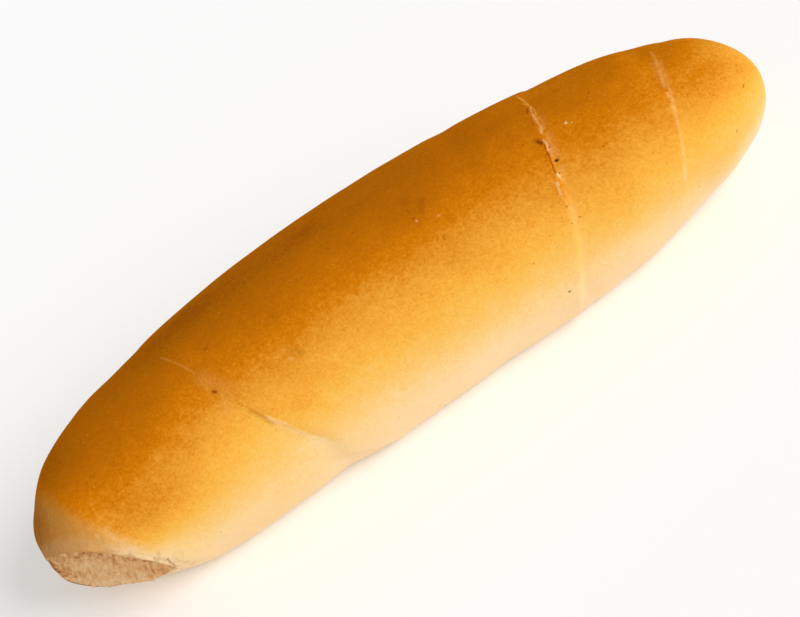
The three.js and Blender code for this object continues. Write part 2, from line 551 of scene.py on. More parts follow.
def heat_and_painted_shade(at, pasts):
    """Degrees by which a place is hotter than its steepness alone makes it. A few spots on the left half add
    painted shade instead, in part or whole, where less light falls.
    """
    heat = sum(degrees * bell(*away(at, x, angle, *reach)) for x, angle, *reach, degrees in HEAT_AND_SHADE_SPOTS)
    for seam, start, end, own, own_reach, beyond, beyond_reach in SEAM_HEAT:
        past = pasts[seam]
        own_side = own * ease(past, -own_reach, 0) * ease(past, FAR_EDGE, OWN_EDGE)
        far_side = beyond * ease(past, OWN_EDGE, FAR_EDGE) * ease(past, beyond_reach, 0)
        heat = heat + (own_side - far_side) * between(at.angle, start, end, SEAM_FADE)
    return heat


# %% Marks
MARKS = [  # tint, half width, strength, depth, and the places that a mark passes
    ("gold", 0.2, 0.5, 0, (43.1, 119), (43.5, 108), (43.8, 101)),
    ("gold", 0.14, 0.6, 0, (42.9, 104), (43.6, 101)),
    ("gold", 0.14, 0.5, 0, (43.8, 101), (44.1, 94), (43.6, 89)),
    ("pale", 0.2, 0.4, -0.05, (43.7, 98), (43.3, 92), (43.1, 86)),
    ("pale", 0.18, 0.35, -0.05, (43.2, 87), (42.9, 80), (42.5, 76)),
    ("pale", 0.2, 0.6, -0.05, (41.8, 71), (41.9, 67), (41.3, 64)),
    ("pale", 0.3, 0.9, -0.12, (40.2, 50), (40.2, 48)),
    ("pale", 0.3, 0.5, -0.06, (39.2, 46), (38.7, 43), (38.4, 40)),
    ("gold", 0.2, 0.5, 0, (38.2, 38), (38.5, 33)),
    ("rust", 0.22, 0.8, 0.12, (43.1, 98), (42.5, 93)),
    ("rust", 0.25, 0.6, 0.1, (43.4, 93)),
    ("rust", 0.2, 0.5, 0.05, (42.4, 88), (41.9, 82)),
    ("rust", 0.22, 0.8, 0.1, (41.4, 68), (40.9, 62), (40.5, 57), (39.9, 51)),
    ("rust", 0.25, 0.8, 0.15, (42.0, 66)),
    ("rust", 0.25, 0.8, 0.1, (40.6, 50)),
    ("rust", 0.75, 0.45, 0.1, (40.6, 72.5), (41.1, 69.5)),
    ("scorch", 0.4, 0.6, 0.3, (40.7, 72), (41.1, 70)),
    ("scorch", 0.42, 1, 0.7, (41.6, 57)),
    ("rust", 0.22, 0.6, 0.06, (37.1, 23)),
    ("rust", 0.24, 0.7, 0.06, (39.0, 23)),
    ("scorch", 0.28, 0.9, 0.2, (29.4, -12)),
    ("rust", 0.2, 0.5, 0, (26.7, 16)),
    ("rust", 0.24, 0.6, 0.05, (33.8, 66)),
    ("rust", 0.22, 0.5, 0, (38.0, 74)),
    ("rust", 0.2, 0.5, 0, (35.6, 37)),
    ("white", 0.32, 0.9, -0.1, (47.3, 74)),
    ("white", 0.2, 0.6, -0.05, (48.3, 72)),
    ("gold", 0.3, 0.16, -0.03, (-42.9, 94), (-41.6, 87)),
    ("gold", 0.25, 0.2, -0.03, (-41.2, 85), (-40.2, 79), (-39.0, 71)),
    ("rust", 0.4, 0.5, 0.05, (-34.8, 78), (-34.4, 78)),
    ("rust", 0.36, 0.9, 0.15, (-38.1, 57), (-37.7, 56)),
    ("peach", 1.7, 0.13, 0, (-38.4, 66), (-35.6, 54)),
    ("peach", 1.5, 0.13, 0, (-36.4, 51), (-37.6, 44)),
    ("rust", 0.3, 0.35, 0.05, (-35.0, 42)),
    ("rust", 0.6, 0.25, 0.06, (-34.4, 37), (-33.6, 35), (-32.3, 25)),
    ("white", 0.45, 0.32, -0.08, (-32.4, 30), (-31.4, 25), (-30.2, 21)),
    ("pale", 0.35, 0.36, -0.05, (-30.2, 21), (-28.1, 9)),
    ("pale", 0.4, 0.4, -0.05, (-22.0, 46)),
    ("rust", 0.9, 0.22, 0, (-21.3, 50), (-19.8, 46)),
    ("rust", 1.8, 0.12, 0, (-20, 70)),
    ("rust", 0.3, 0.6, 0.05, (12.6, 70)),
    ("rust", 0.25, 0.5, 0.03, (12.5, 76), (12.6, 74)),
    ("rust", 0.25, 0.5, 0.03, (21.1, 85)),
    ("rust", 0.25, 0.5, 0.03, (17.9, 63)),
    ("rust", 0.22, 0.5, 0.03, (15.5, 54), (15.2, 52)),
    ("rust", 1.0, 0.3, 0, (14.8, 72), (15.8, 76)),
    ("rust", 0.9, 0.2, 0, (12.5, 83), (13.5, 80)),
    ("rust", 0.8, 0.2, 0, (18.5, 59)),
    ("pale", 0.25, 0.4, -0.04, (12.9, 68)),
    ("pale", 0.25, 0.4, -0.04, (16.9, 64)),
    ("rust", 0.25, 0.5, 0.03, (61.8, 74)),
    ("rust", 0.22, 0.5, 0.03, (60.2, 52)),
    ("rust", 0.22, 0.5, 0.03, (57.6, 31)),
    ("rust", 0.22, 0.5, 0.03, (50.5, 50)),
    ("rust", 0.2, 0.4, 0, (54.8, 41)),
    ("rust", 0.2, 0.4, 0, (52.2, 40)),
    ("rust", 0.3, 0.6, 0.05, (80.2, 33), (79.7, 31)),
    ("rust", 0.25, 0.5, 0.03, (80.9, 72)),
    ("rust", 0.25, 0.6, 0.05, (74.0, 2), (73.7, 1)),
    ("rust", 0.25, 0.5, 0.03, (72.0, 52)),
    ("rust", 0.25, 0.5, 0.03, (61.7, -14)),
    ("gold", 0.3, 0.24, -0.03, (69.2, 104), (69.1, 93), (68.4, 84)),
    ("gold", 0.35, 0.3, -0.04, (68.2, 80), (67.6, 73), (67.0, 66)),
    ("peach", 1.2, 0.18, 0, (68.8, 88), (67.4, 66)),
    ("gold", 0.4, 0.45, -0.05, (66.6, 60), (66.4, 57)),
    ("gold", 0.35, 0.45, -0.05, (65.8, 52), (65.7, 48)),
    ("pale", 0.3, 0.7, -0.06, (61.1, 11), (59.8, 2)),
    ("rust", 0.2, 0.6, 0.15, (-64.2, -10), (-64.3, -15), (-63.9, -21)),
    ("rust", 0.22, 0.6, 0.06, (-67.8, -4)),
    ("rust", 0.22, 0.6, 0.06, (-66.1, -4)),
    ("rust", 0.25, 0.6, 0.1, (-71.7, 13.5)),
    ("rust", 0.25, 0.5, 0.1, (-71.3, 10.5)),
    ("rust", 0.22, 0.5, 0.03, (-61.9, 47)),
    ("rust", 0.22, 0.5, 0.03, (-60.6, 53.5)),
    ("rust", 0.22, 0.5, 0.03, (-70.4, 51)),
    ("rust", 0.22, 0.5, 0.03, (-52.8, -14)),
    ("rust", 0.25, 0.4, 0.03, (-3.9, -33)),
    ("rust", 0.22, 0.5, 0.03, (-33.6, 58)),
]
MARK_RAGGED = 0.15  # millimetres by which the edge of a mark strays
MARK_SOFTNESS = 1.5  # how many of its half widths a mark takes to fade out
print(len(HEAT_AND_SHADE_SPOTS), "hotter or cooler spots and", len(MARKS), "marks")


def spot_on_crust(place, x, angle):
    """The crust laid flat in millimetres, with a little noise so that marks get ragged."""
    ragged = uneven(place, 0.7, seed=14, detail=1) * MARK_RAGGED
    return vector(place.recipe, x + ragged, angle * MM_PER_DEGREE - ragged, 0)


def mark_share(spot, half_width, places):
    """1 in the middle of a mark, and 0 outside it."""
    flat = [(x, angle * MM_PER_DEGREE) for x, angle in places]
    near = None
    for start, end in zip(flat, flat[1:] or flat):
        distance = away_from_way(spot, start, end)
        near = distance if near is None else calc("MINIMUM", near, distance)
    return ease(near, half_width * MARK_SOFTNESS, 0)


# %% [markdown]
# ## The crust's finish
# A colour ramp turns degrees of browning into colours, and noise of several sizes makes it cloudy. The far
# left end was covered by its neighbour in the oven and is tan. Thin pale lines mark the seams, where raw
# dough was stretched open late.

# %% Colours of baked dough
def linear(part):
    """The amount of light that a part of a screen's colour stands for, by the usual curve."""
    return part / 12.92 if part < 0.04045 else ((part + 0.055) / 1.055) ** 2.4


def tone(code):
    """The linear colour of a usual six-digit colour code."""
    parts = [int(code[start:start + 2], 16) / 255 for start in (0, 2, 4)]
    return (*map(linear, parts), 1.0)


BROWNING = [  # degrees of browning, from the hottest, and the colour that they bake to
    (-10, tone("A25807")),
    (0, tone("AF6207")),
    (6, tone("B36507")),
    (14, tone("B96706")),
    (26, tone("C36F08")),
    (35, tone("D07909")),
    (42, tone("D8861D")),
    (50, tone("E2952C")),
    (61, tone("ECA338")),
    (72, tone("F1AF43")),
    (81, tone("F2B852")),
    (91, tone("F4BF65")),
    (99, tone("F6C778")),
    (106, tone("F7D08F")),
    (116, tone("F8D6A1")),
    (134, tone("FADCB0")),
    (155, tone("FCE4BE")),
]
# The tan darkens towards the tip, partly as painted shade where the end turns away from the light.
CAP = [  # place along the roll, and the colour of the end that was covered
    (-84, tone("A4682A")),
    (-79, tone("C4843A")),
    (-75, tone("CB8C3E")),
    (-72.5, tone("CE9248")),
    (-71, tone("E0AA60")),
    (-69, tone("ECBE84")),
    (-66, tone("F4CE9A")),
]
TINTS = {
    "peach": tone("F0AC66"),
    "gold": tone("F5B458"),
    "pale": tone("F4C88C"),
    "white": tone("FBDDAE"),
    "rust": tone("92420A"),
    "scorch": tone("3E1606"),
}
BAKED_CLOUDS = [(26, 5), (9, 4), (3.5, 3.5), (1.4, 4.5), (0.6, 8)]  # size, and degrees that they add
DOTS = [  # spacing, reach, share of the places that have one, strength, colour that they stain the crust with
    (0.75, 0.3, 0.8, 0.45, tone("E0AE6C")),
    (1.9, 0.36, 0.5, 0.55, tone("CE8C4C")),
    (5.5, 0.4, 0.45, 0.8, tone("B06A34")),
]
SEAM_LINES = [  # seam, distance past it, half width, from angle, to angle, strength
    (INNER_LEFT, 0.15, 0.5, -10, 24, 0.3),
    (INNER_RIGHT, 0.4, 1.1, -30, 36, 0.14),
    (OUTER_RIGHT, 0.2, 0.35, 4, 62, 0.22),
    (OUTER_LEFT, 0.15, 0.4, 134, 200, 0.15),
    (INNER_LEFT, 0.15, 0.4, 134, 205, 0.22),
    (INNER_RIGHT, 0.15, 0.4, 138, 205, 0.22),
    (OUTER_RIGHT, 0.15, 0.35, 134, 200, 0.18),
]
BASE_BROWN = tone("C8873A")
CRUMBLY_BROWN = tone("B87E48")
print(len(BROWNING), "stages of browning,", len(TINTS), "tints and", len(SEAM_LINES), "pale lines")


# %% A recipe for a finish
class Finish(Recipe):
    """A material, with places in millimetres on the object's own coordinates."""

    def __init__(self, name):
        self.material = bpy.data.materials.new(name)
        self.material.use_nodes = True
        super().__init__(self.material.node_tree)
        self.tree.nodes.clear()
        own = self.node("ShaderNodeTexCoord", {}, {}, "Object")
        self.place = self.node("ShaderNodeVectorMath", {"operation": "SCALE"}, {0: own, "Scale": 1 / MM})
        self.x = self.node("ShaderNodeSeparateXYZ", {}, {"Vector": self.place})
        self.z = self.x.sibling("Z")
        self.axes = (self.x, self.x.sibling("Y"), self.z)

    def attribute(self, name):
        return self.node("ShaderNodeAttribute", {"attribute_name": name}, {}, "Fac")

    def blend(self, share, first, second, how="MIX"):
        settings = {"data_type": "RGBA", "blend_type": how}
        return self.node("ShaderNodeMix", settings, {0: share, 6: first, 7: second}, 2)

    def ramp(self, value, stops):
        """The colour for a value, between stops that are given in the value's own unit."""
        first = stops[0][0]
        whole = stops[-1][0] - first
        shares = [((stop - first) / whole, colour) for stop, colour in stops]
        return self.node("ShaderNodeValToRGB", {"stops": shares}, {"Fac": (value - first) / whole})

    def finish(self, shader_sockets, height, bump):
        normal = self.node("ShaderNodeBump", {}, {"Height": height, "Strength": bump, "Distance": MM})
        shader = self.node("ShaderNodeBsdfPrincipled", {}, {**shader_sockets, "Normal": normal})
        self.node("ShaderNodeOutputMaterial", {}, {"Surface": shader})
        print(self.material.name, "finish:", len(self.tree.nodes), "nodes")
        return self.material


# %% Baking
DULL = (60, 105)  # degrees of browning over which crust gets pale, dull and even
CLOUD_LOSS = 0.5  # share of its clouds that the dullest crust has lost


class CrustFinish(Finish):
    """A finish that knows its place on the dough, and has the noises that its layers share."""

    def __init__(self, name):
        super().__init__(name)
        self.angle = self.attribute("angle")
        self.past = [self.attribute(f"past_{number}") for number in range(len(SEAMS))]
        self.mottled = uneven(self.place, 5, seed=2)
        self.grainy = uneven(self.place, 1.3, seed=3, detail=3)
        self.streaky = uneven(threads(self, *self.axes, 4), 1.4, seed=8)
        self.torn = self.attribute("torn")
        self.baked = self.attribute("browning")
        self.dull = ease(self.baked, *DULL)


def browned(bake):
    clouds = 0
    for size, degrees in BAKED_CLOUDS:
        clouds = clouds + uneven(bake.place, size, seed=60 + size, detail=1) * degrees
    return bake.ramp(bake.baked + clouds * (1 - bake.dull * CLOUD_LOSS), BROWNING)


# %% The end that was covered, and the rim of the tear
COVER_EDGE = (-3.4, 0.8)  # past the outer left seam
COVER_FRONT = (0, 12)  # angles over which the cover sets in at the front
COVER_TIP = (-76, -81)  # places along the roll over which it reaches down to the base
COVER_BACK = (110, 190)  # angles over which it fades at the back, and the share that goes there
COVER_LOSS = 0.75
COVER_SHARE = 0.92
TOP_SHIFT = (50, 95)  # angles over which the tan gets deeper, as if nearer to the tip by this much
TOP_SHIFT_MM = 3
PALE_RIM = ((-3.2, -0.8), 0.18)  # how far inside the tear's edge it sets in, and its share of the colour
RAW_RIM = ((-2.0, -0.5), 0.6)
CRUMBLY_RIM = ((-2.6, -0.3), 0.45)
RAW_FRONT = (-74, -69)  # places along the roll over which raw dough sets in at the rim


def covered_end(bake, colour):
    """The tan left end, which its neighbour kept from the heat. It is paler along the tear, and darker
    towards the tip, partly as painted shade where the end turns away from the light.
    """
    shift = ease(bake.angle, *TOP_SHIFT) * TOP_SHIFT_MM
    tan = bake.ramp(bake.x + bake.grainy * 1.3 + bake.streaky * 1.2 - shift, CAP)
    reach, share = PALE_RIM
    tan = bake.blend(ease(bake.torn + bake.streaky * 0.5, *reach) * share, tan, TINTS["white"])
    covered = ease(bake.past[OUTER_LEFT] + bake.mottled * 0.6 + bake.grainy * 0.9, *COVER_EDGE)
    at_tip = ease(bake.x + bake.mottled * 0.5, *COVER_TIP)
    covered = covered * calc("MAXIMUM", ease(bake.angle, *COVER_FRONT), at_tip)
    covered = covered * (1 - COVER_LOSS * ease(bake.angle + bake.mottled * 8, *COVER_BACK))
    return bake.blend(covered * COVER_SHARE, colour, tan)


def torn_rim(bake, colour):
    """Raw dough at the front of the torn edge, and browner crumbs all along it."""
    reach, share = RAW_RIM
    raw = ease(bake.torn + bake.grainy * 0.4, *reach) * ease(bake.x, *RAW_FRONT)
    colour = bake.blend(raw * share, colour, TINTS["white"])
    reach, share = CRUMBLY_RIM
    crumbly = ease(bake.torn + bake.streaky * 0.5, *reach)
    crumbly = crumbly * hold(0.25 + bake.grainy * 1.5 + bake.streaky * 0.8)
    return bake.blend(crumbly * share, colour, CRUMBLY_BROWN)


# %% Seams, dots and marks
FLAKY_START = (-0.15, 0.15)  # past the inner right seam, over which its flaky band sets in and runs out
FLAKY_END = (2.6, 0.6)
FLAKY_LOW = (34, 50)  # angles over which it sets in and runs out
FLAKY_HIGH = (98, 78)
FLAKY_SHARE = 0.45
DOT_LOSS = 0.6  # share of their strength that dots lose on the dullest crust
FLOUR = {"spacing": 1.5, "reach": 0.32, "chance": 0.3}
FLOUR_SHARE = 0.25


def seam_colours(bake, colour):
    """Pale lines along the seams, and the flaky band beside the inner right one."""
    for seam, offset, half_width, start, end, strength in SEAM_LINES:
        line = bell((bake.past[seam] + bake.grainy * 0.1 - offset) / half_width)
        line = line * between(bake.angle, start, end, SEAM_FADE) * hold(0.7 + bake.grainy * 0.8)
        colour = bake.blend(line * strength, colour, TINTS["white"])
    past = bake.past[INNER_RIGHT]
    flaky = ease(past, *FLAKY_START) * ease(past + bake.grainy * 0.9, *FLAKY_END)
    flaky = flaky * ease(bake.angle, *FLAKY_LOW) * ease(bake.angle, *FLAKY_HIGH)
    flaky = flaky * hold(0.5 + bake.grainy * 1.4)
    return bake.blend(flaky * FLAKY_SHARE, colour, TINTS["peach"])


def dotted(bake, colour):
    """Small stains, and a little flour."""
    for spacing, reach, chance, strength, stain in DOTS:
        share = dots(bake.place, spacing, reach, chance) * strength * (1 - bake.dull * DOT_LOSS)
        colour = bake.blend(share, colour, stain, "MULTIPLY")
    return bake.blend(dots(bake.place, **FLOUR) * FLOUR_SHARE, colour, TINTS["gold"])


def marked(bake, colour):
    """All marks, one tint over the other."""
    spot = spot_on_crust(bake.place, bake.x, bake.angle)
    for tint, tint_colour in TINTS.items():
        covers = 0
        for own, half_width, strength, _depth, *places in MARKS:
            if own == tint:
                covers = calc("MAXIMUM", mark_share(spot, half_width, places) * strength, covers)
        colour = bake.blend(covers, colour, tint_colour)
    return colour


# %% The whole crust
GRAIN = 0.09
GRAIN_LOSS = 0.06  # what the dullest crust has lost of it
BASE_ANGLES = (300, 285)  # the underside sets in between them, and between these heights
BASE_HEIGHTS = (0.6, 0.1)
ROUGHNESS = 0.6
SKIN_BUMPS = 0.6


def grained(bake, colour):
    grain = 1 + uneven(bake.place, 0.32, seed=5, detail=1) * (GRAIN - bake.dull * GRAIN_LOSS)
    return bake.blend(1.0, colour, grain, "MULTIPLY")


def on_its_base(bake, colour):
    underside = ease(bake.angle % 360, *BASE_ANGLES) * ease(bake.z, *BASE_HEIGHTS)
    return bake.blend(underside, colour, BASE_BROWN)


def crust_finish():
    bake = CrustFinish("baked_crust")
    colour = browned(bake)
    for layer in (covered_end, torn_rim, seam_colours, dotted, marked, grained, on_its_base):
        colour = layer(bake, colour)
    skin = uneven(bake.place, 0.4, seed=6, detail=3) * 0.03 + uneven(bake.place, 1.6, seed=7) * 0.04
    roughness = hold(ROUGHNESS + bake.attribute("steepness") * 0.002 + bake.grainy * 0.04, 0.4, 0.9)
    sockets = {"Base Color": colour, "Roughness": roughness, "Specular IOR Level": 0.0}
    return bake.finish(sockets, skin, SKIN_BUMPS)


CRUST = crust_finish()

# %% [markdown]
# ## The torn crumb's finish
# Crumb that was torn open is dry, matt and fibrous: pale threads of dough stand up between small holes that
# look darker, because light is lost in them. The height that the geometry stores drives the colour, so that
# hollows are always the darker places, and a finer noise adds threads that are too thin to model.


# %% Torn crumb
CRUMB_TONES = [
    (0, tone("8A4E26")),
    (0.3, tone("BC844E")),
    (0.55, tone("DBA972")),
    (0.8, tone("E8C090")),
    (1, tone("F4DDB8")),
]
BLOTCHES = [  # across and down the torn face, half width, and how much lighter
    (-73.6, 5.2, 0.8, -0.35),
    (-73.4, 3.2, 0.8, -0.4),
    (-72.6, 1.6, 0.7, -0.35),
    (-71.6, 0.0, 0.6, -0.3),
    (-68.5, 10.0, 0.5, -0.3),
    (-69.4, -0.4, 0.6, -0.3),
    (-67.0, 12.1, 0.4, -0.35),
    (-61.3, 11.2, 0.35, -0.45),
    (-60.2, 11.9, 0.3, -0.45),
    (-58.8, 9.6, 0.4, -0.4),
    (-61.6, 2.5, 0.5, -0.3),
    (-69.5, 4.2, 0.7, 0.3),
    (-73.0, 6.3, 0.6, 0.25),
    (-71.0, 10.3, 0.6, 0.3),
    (-63.4, 4.5, 0.4, 0.3),
]
CRUMB_LIGHT = 0.62  # share of the way from the darkest tone to the palest, where nothing changes it
# Painted shade along the torn face: darker towards the left tip, in part, and a painted shadow under the
# crust's overhanging rim at its right end.
CRUMB_PAINTED_SHADE_ALONG = [(-78, -84, -0.2), (-71, -68, -0.12)]  # from, to, and how much lighter it gets
# Painted light down the torn face: a painted shadow under the rim at the top, and more light at the bottom.
CRUMB_PAINTED_LIGHT_DOWN = [(6, 9.5, -0.14), (1, -3, 0.12)]
CRUMB_BUMPS = 0.7
print(len(CRUMB_TONES), "tones of crumb and", len(BLOTCHES), "blotches")


def crumb_finish():
    crumb = Finish("torn_crumb")
    height = crumb.attribute("height")
    patchy = uneven(crumb.place, 4, seed=11)
    fine = uneven(threads(crumb, *crumb.axes, 3), 0.5, seed=12, detail=3)
    streaks = uneven(threads(crumb, *crumb.axes, 6), 0.9, seed=13)
    light = CRUMB_LIGHT + height * 0.3 + patchy * 0.1 + fine * 0.22 + streaks * 0.2
    # Painted shade: partly darker towards the left tip, and a painted shadow under the overhanging rim.
    (*tip, tip_painted_shade), (*front, overhang_shadow) = CRUMB_PAINTED_SHADE_ALONG
    light = light + tip_painted_shade * ease(crumb.x, *tip) * hold(1 + height) + overhang_shadow * ease(crumb.x, *front)
    face = torn_face_place(crumb, *crumb.axes)
    down = crumb.node("ShaderNodeSeparateXYZ", {}, {"Vector": face}, "Y") + streaks * 1.2
    for start, end, lighter in CRUMB_PAINTED_LIGHT_DOWN:
        light = light + lighter * ease(down, start, end)
    flat = vector_calc(crumb, "ADD", face, vector(crumb, fine * 0.25, patchy * 0.4, 0))
    for across, lower, half_width, lighter in BLOTCHES:
        distance = away_from_way(flat, (across, lower), (across, lower))
        light = light + lighter * ease(distance, half_width * MARK_SOFTNESS, 0)
    colour = crumb.ramp(hold(light), CRUMB_TONES)
    sockets = {"Base Color": colour, "Roughness": 0.9, "Specular IOR Level": 0.02}
    return crumb.finish(sockets, fine * 0.1, CRUMB_BUMPS)


CRUMB = crumb_finish()

# %% [markdown]
# ## Growing the crust
# The crust starts as a UV sphere, which is closed at both tips and all round. Its rings are handed out to
# the layers, close together at the seams where the relief is finest, and its sides are closer together on
# top than underneath. Then every point goes to its place on the wound dough.

# %% Rings and sides
RING_SHARES = [0.27, 0.19, 0.24, 0.14, 0.16]  # of the rings, for each layer
SEAM_CROWDING = 0.75  # how much closer the rings are at the seams, from 0 to 1
TOP_CROWDING = 0.35  # and the sides on top
print("shares of the rings for each layer:", RING_SHARES)


def ring_station(along):
    """Hands out a share from 0 to 1 along the sphere to the layers, and crowds it at their seams."""
    station = -1.0
    used = 0.0
    last = len(RING_SHARES) - 1
    for layer, rings in enumerate(RING_SHARES):
        share = hold((along - used) / rings)
        if layer == 0:
            crowded = share + calc("SINE", share * math.pi) * (SEAM_CROWDING / math.pi)
        elif layer == last:
            crowded = share - calc("SINE", share * math.pi) * (SEAM_CROWDING / math.pi)
        else:
            crowded = share - calc("SINE", share * 2 * math.pi) * (SEAM_CROWDING / (2 * math.pi))
        station = station + crowded * (EDGES[layer + 1] - EDGES[layer])
        used += rings
    return station


def ball_with_dough_places(recipe, rings, sides):
    """A unit sphere whose poles become the tips. Every point remembers its station and its angle."""
    ball = recipe.node("GeometryNodeMeshUVSphere", {}, {"Segments": sides, "Rings": rings})
    x = recipe.node("ShaderNodeSeparateXYZ", {}, {"Vector": recipe.node("GeometryNodeInputPosition")})
    along = calc("ARCCOSINE", hold(-x.sibling("Z"), -1, 1)) / math.pi
    round_it = calc("ARCTAN2", x.sibling("Y"), x)
    even = math.pi / 2 - round_it
    angle = (even + calc("COSINE", even) * TOP_CROWDING) / DEGREE
    ball = recipe.store(ball, "station", ring_station(along))
    return recipe.store(ball, "angle", angle)


# %% Fine relief
FLAKE_LIFT = 0.05  # how much the flaky band stands out as a whole, and how rough it is on top of that
FLAKE_HEIGHT = 0.12
WRINKLE_HEIGHT = 0.03
WRINKLE_LENGTH = 0.9  # from one fold to the next
SCALE_LIFT = 0.06
SCALE_HEIGHT = 0.14
RIM_ROUGHNESS = 0.45  # of the torn edge without scales, as a share of the scales' roughness
print("the highest fine relief, in millimetres:", max(FLAKE_LIFT + FLAKE_HEIGHT, SCALE_LIFT + SCALE_HEIGHT))


def pressed_marks(at, place):
    """Pits, blisters and raised flecks, at places on the plain spindle, which is close to the crust."""
    spot = spot_on_crust(place, at.x, at.angle)
    relief = 0
    for _tint, half_width, _strength, depth, *places in MARKS:
        if depth:
            relief = relief - depth * mark_share(spot, half_width, places)
    return relief


def flakes(at, past, place):
    """The rough band beside the inner right seam, where the dough tore open."""
    where = ease(past, -0.1, 0.1) * ease(past, 1.6, 0.8) * between(at.angle, 46, 98, 6)
    return (FLAKE_LIFT + uneven(place, 0.8, seed=21, detail=3) * FLAKE_HEIGHT) * where


def wrinkles(at, past, place):
    """Fine folds beside the inner left seam, where the layer was pulled."""
    where = ease(past, -1.6, -0.4) * ease(past, 2.6, 1.0) * ease(at.angle, 14, 26) * ease(at.angle, 60, 46)
    turns = past * (2 * math.pi / WRINKLE_LENGTH) + uneven(place, 4, seed=22) * 3
    return WRINKLE_HEIGHT * calc("SINE", turns) * where


def scaly_rim(at, inside, place):
    """The torn edge is rough, and at the front it is lifted in thin scales."""
    lifted = ease(inside, -2.2, -0.8) * ease(at.x, -72, -69) * ease(at.angle, -34, -22)
    rough = ease(inside, -1.8, -0.4) * RIM_ROUGHNESS
    scales = uneven(place, 0.9, seed=23, detail=3) * SCALE_HEIGHT
    return lifted * SCALE_LIFT + scales * calc("MAXIMUM", lifted, rough)


# %% Crust
RINGS = 380
SIDES = 256
TEAR_STEP = 0.95  # how deep the torn face lies under the crust's edge
TEAR_EDGE = 0.3  # width of the wall down to it
RIM_CURL = 0.25  # how far that edge stands up
CURL_BACK = 0.3  # how far outside the tear it stands up most
CURL_REACH = 0.45
HEAT_LEAN = math.radians(7)  # the heat came from above and a little from the back


def to_place(recipe, geometry, x, y, z):
    """Moves every point to a place that is given in millimetres."""
    surface = vector(recipe, x * MM, y * MM, z * MM)
    return recipe.node("GeometryNodeSetPosition", {}, {"Geometry": geometry, "Position": surface})


def steepness_of(recipe):
    """The angle between the crust and the heat from above."""
    heat = (0.0, math.sin(HEAT_LEAN), math.cos(HEAT_LEAN))
    facing = vector_calc(recipe, "DOT_PRODUCT", recipe.node("GeometryNodeInputNormal"), heat, output="Value")
    return calc("ARCCOSINE", hold(facing, -1, 1)) / DEGREE


def tear_open(at, place, relief, raggedness):
    """The crust's point once the roll is torn off its neighbour, and how far inside the tear it lies."""
    frayed = (uneven(place, 2.6, seed=51, detail=3) * 0.5 + uneven(place, 0.8, seed=52) * 0.25) * raggedness
    inside = inside_rim(at, at.x, *stand_out(at, relief)) + frayed
    y, z = stand_out(at, relief + scaly_rim(at, inside, place))
    curl = RIM_CURL * bell((inside + CURL_BACK) / CURL_REACH) * hold(0.6 + uneven(place, 3, seed=53))
    step = TEAR_STEP * ease(inside, 0, TEAR_EDGE)
    x, y, z = TORN_FACE.push(at.x, y, z, curl - step - torn_off(at.x, y, z))
    return (blunted(x), y, press_on_tray(z)), inside


def grow_crust():
    recipe = ShapeRecipe("roll_crust")
    sizes = {name: recipe.size(name, size) for name, size in DOUGH_SIZES.items()}
    rings = recipe.size("Rings", RINGS)
    sides = recipe.size("Sides", SIDES)
    waviness = recipe.size("Waviness", 0.1)
    raggedness = recipe.size("Raggedness", 0.65)
    inset = recipe.size("Inset", 0.06)

    ball = ball_with_dough_places(recipe, rings, sides)
    at = wind(sizes, recipe.stored("station"), recipe.stored("angle"))
    place = vector(recipe, at.x, *stand_out(at, 0))
    form = swell(at) + lumps(at) - inset
    ball = to_place(recipe, ball, at.x, *stand_out(at, form))
    ball = recipe.store(ball, "steepness", steepness_of(recipe))

    relief = form + uneven(place, 13, seed=1) * waviness + uneven(place, 3.5, seed=2) * waviness * 0.25
    pasts = []
    for number, seam in enumerate(SEAMS):
        wander = uneven(place, 9, seed=30 + number) + uneven(place, 1.8, seed=40 + number) * 0.3
        past = past_seam(at, seam) + wander * seam["wander"]
        ball = recipe.store(ball, f"past_{number}", past)
        relief = relief + step_down(at, seam, past)
        pasts.append(past)
    # the stored browning also carries the painted shade of a few spots on the left half
    ball = recipe.store(ball, "browning", recipe.stored("steepness") - heat_and_painted_shade(at, pasts))
    relief = relief + pressed_marks(at, place)
    relief = relief + wrinkles(at, pasts[INNER_LEFT], place) + flakes(at, pasts[INNER_RIGHT], place)

    point, inside = tear_open(at, place, relief, raggedness)
    ball = recipe.store(ball, "torn", inside)
    return recipe, to_place(recipe, ball, *point)


crust_recipe, crust_shape = grow_crust()
roll_crust = crust_recipe.grow(crust_shape, CRUST)

# %% [markdown]
# ## Growing the torn crumb
# The crumb is a piece of its own, so that the crust keeps a real edge round it. It is a thin plate of very
# fine mesh that follows the same dough: beyond the tear it lies a little under the crust's edge, and
# elsewhere it dives under the crust and can't be seen. Threads and holes are noise that is stretched along
# the pull.

# %% Crumb skin
CRUMB_STATIONS = (-0.99, -0.58)  # the plate's reach along the roll and round it
CRUMB_ANGLES = (-76.0, 60.0)
CRUMB_RECESS = 0.3  # how deep crumb lies under the torn face
CRUMB_SUNK = 1.3  # how deep it dives under the crust outside the tear
CRUMB_THICKNESS = 1.6
FIBRES, TUFTS, HOLES = 0.55, 0.35, 0.4  # what each adds to the crumb's relief
HOLE_SIZE = 1.3
HOLE_MIDDLE = 0.45  # what the cells of the holes come to on average
TAGS = [  # shreds on the lower edge: along the roll, angle, reach along, reach round in degrees, height
    (-80.5, -58, 0.4, 4, 0.9),
    (-69.3, -36, 0.4, 4, 0.8),
]
print("the crumb reaches over stations", CRUMB_STATIONS, "and angles", CRUMB_ANGLES)


